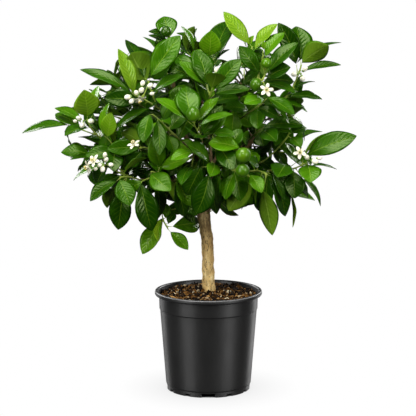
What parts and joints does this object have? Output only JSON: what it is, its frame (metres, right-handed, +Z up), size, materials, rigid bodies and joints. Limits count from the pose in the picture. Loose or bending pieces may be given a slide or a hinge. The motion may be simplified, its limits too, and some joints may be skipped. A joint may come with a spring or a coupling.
{
  "type": "potted calamondin",
  "caption": "Small citrus tree on a single stem in a round nursery pot, with a dense leafy crown, green fruit and white blossom.",
  "frame": {"origin": "centre of the pot's flat underside, on the ground", "axes": "+Z up along the pot's axis, front of the tree towards -Y"},
  "size_m": [0.5832, 0.4343, 0.6708],
  "materials": {
    "pot_plastic": "satin black",
    "compost": "rough bark compost",
    "bark": "rough tan bark with dark streaks",
    "leaf": "glossy green leaf, paler below",
    "fruit_peel": "glossy dimpled green peel",
    "petal": "waxy white petal, yellow stamens"
  },
  "bodies": {
    "root": {"pot": "pot_plastic", "soil": "compost", "trunk": "bark", "far_left": "leaf", "left_young": "leaf", "left_flowering": "leaf", "left_low": "leaf", "front_left": "leaf", "hanging_sprig": "leaf", "front_low": "leaf", "front_low_left": "leaf", "front_low_right": "leaf", "low_right": "leaf", "right_low": "leaf", "right_stem": "leaf", "right_fan": "leaf", "upper_right": "leaf", "top_right": "leaf", "crown_top": "leaf", "top_middle": "leaf", "centre_top": "leaf", "centre": "leaf", "centre_left": "leaf", "upper_left": "leaf", "top_left": "leaf", "left_middle": "leaf", "centre_right": "leaf", "right_middle": "leaf", "inner_left": "leaf", "inner_right": "leaf", "inner_top": "leaf", "inner_low": "leaf", "shoot_rule_01": "leaf", "shoot_rule_02": "leaf", "shoot_rule_03": "leaf", "shoot_rule_04": "leaf", "shoot_rule_05": "leaf", "shoot_rule_06": "leaf", "shoot_rule_07": "leaf", "shoot_rule_08": "leaf", "shoot_rule_09": "leaf", "shoot_rule_10": "leaf", "shoot_rule_11": "leaf", "shoot_rule_12": "leaf", "shoot_rule_13": "leaf", "shoot_rule_14": "leaf", "fruit_centre": "fruit_peel", "fruit_crown": "fruit_peel", "fruit_upper_right": "fruit_peel", "fruit_right": "fruit_peel", "fruit_low_right": "fruit_peel", "fruit_top_right": "fruit_peel", "blossom_upper_left": "petal", "blossom_far_left": "petal", "blossom_left": "petal", "blossom_left_middle": "petal", "blossom_upper_right": "petal", "blossom_top": "petal", "blossom_right_tip": "petal", "blossom_right": "petal"}
  },
  "joints": []
}
